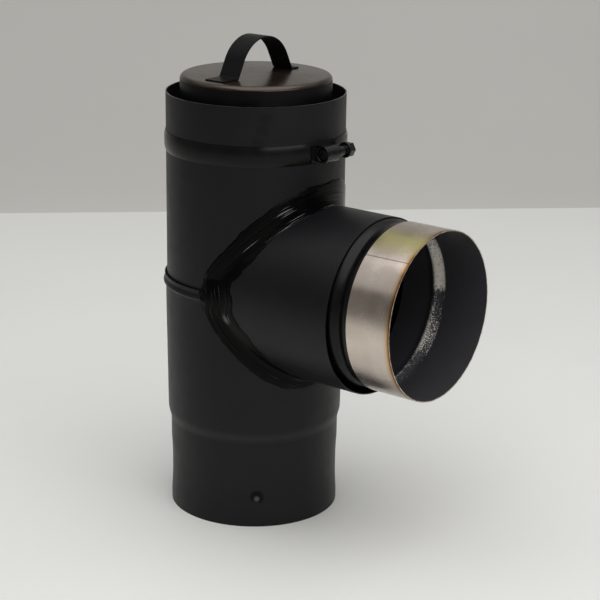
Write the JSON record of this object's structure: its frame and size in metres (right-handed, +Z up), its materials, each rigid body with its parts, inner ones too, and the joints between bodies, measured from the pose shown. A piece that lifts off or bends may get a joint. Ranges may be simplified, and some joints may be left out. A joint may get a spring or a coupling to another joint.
{
  "type": "stove pipe tee",
  "caption": "Black sheet steel stove pipe tee with a side branch ending in a bare stainless spigot, a lift-out inspection cap with a strap handle and a worm drive clamp at the top.",
  "frame": {"origin": "on the main pipe's axis at its bottom edge", "axes": "+Z up along the main pipe, +X along the branch towards its mouth, +Y to the right when looking along -X at the mouth"},
  "size_m": [0.268, 0.1574, 0.4072],
  "materials": {
    "black_sheet": "matte black heat paint",
    "cap_sheet": "satin black heat paint",
    "black_clamp": "black paint over plated steel",
    "stainless": "brushed, heat tinted at the mouth, painted black beside the sleeve",
    "sealant": "glossy brushed sealant"
  },
  "bodies": {
    "tee": {"upper_body": "black_sheet", "lower_body": "black_sheet", "branch_sleeve": "black_sheet", "outlet_spigot": "stainless", "seam_sealant": "sealant", "clamp_band": "black_sheet", "clamp_housing": "black_clamp"},
    "cap": {"cap_pan": "cap_sheet", "cap_handle": "cap_sheet"},
    "screw": {"clamp_screw": "black_clamp"}
  },
  "joints": [
    {"name": "cap_lift", "type": "slide", "parent": "tee", "child": "cap", "axis": [0, 0, 1], "range_m": [0, 0.045]},
    {"name": "screw_turn", "type": "hinge", "parent": "tee", "child": "screw", "pos_m": [0.08237, -0.00793, 0.32149], "axis": [0.0958, 0.9954, 0], "continuous": true}
  ]
}
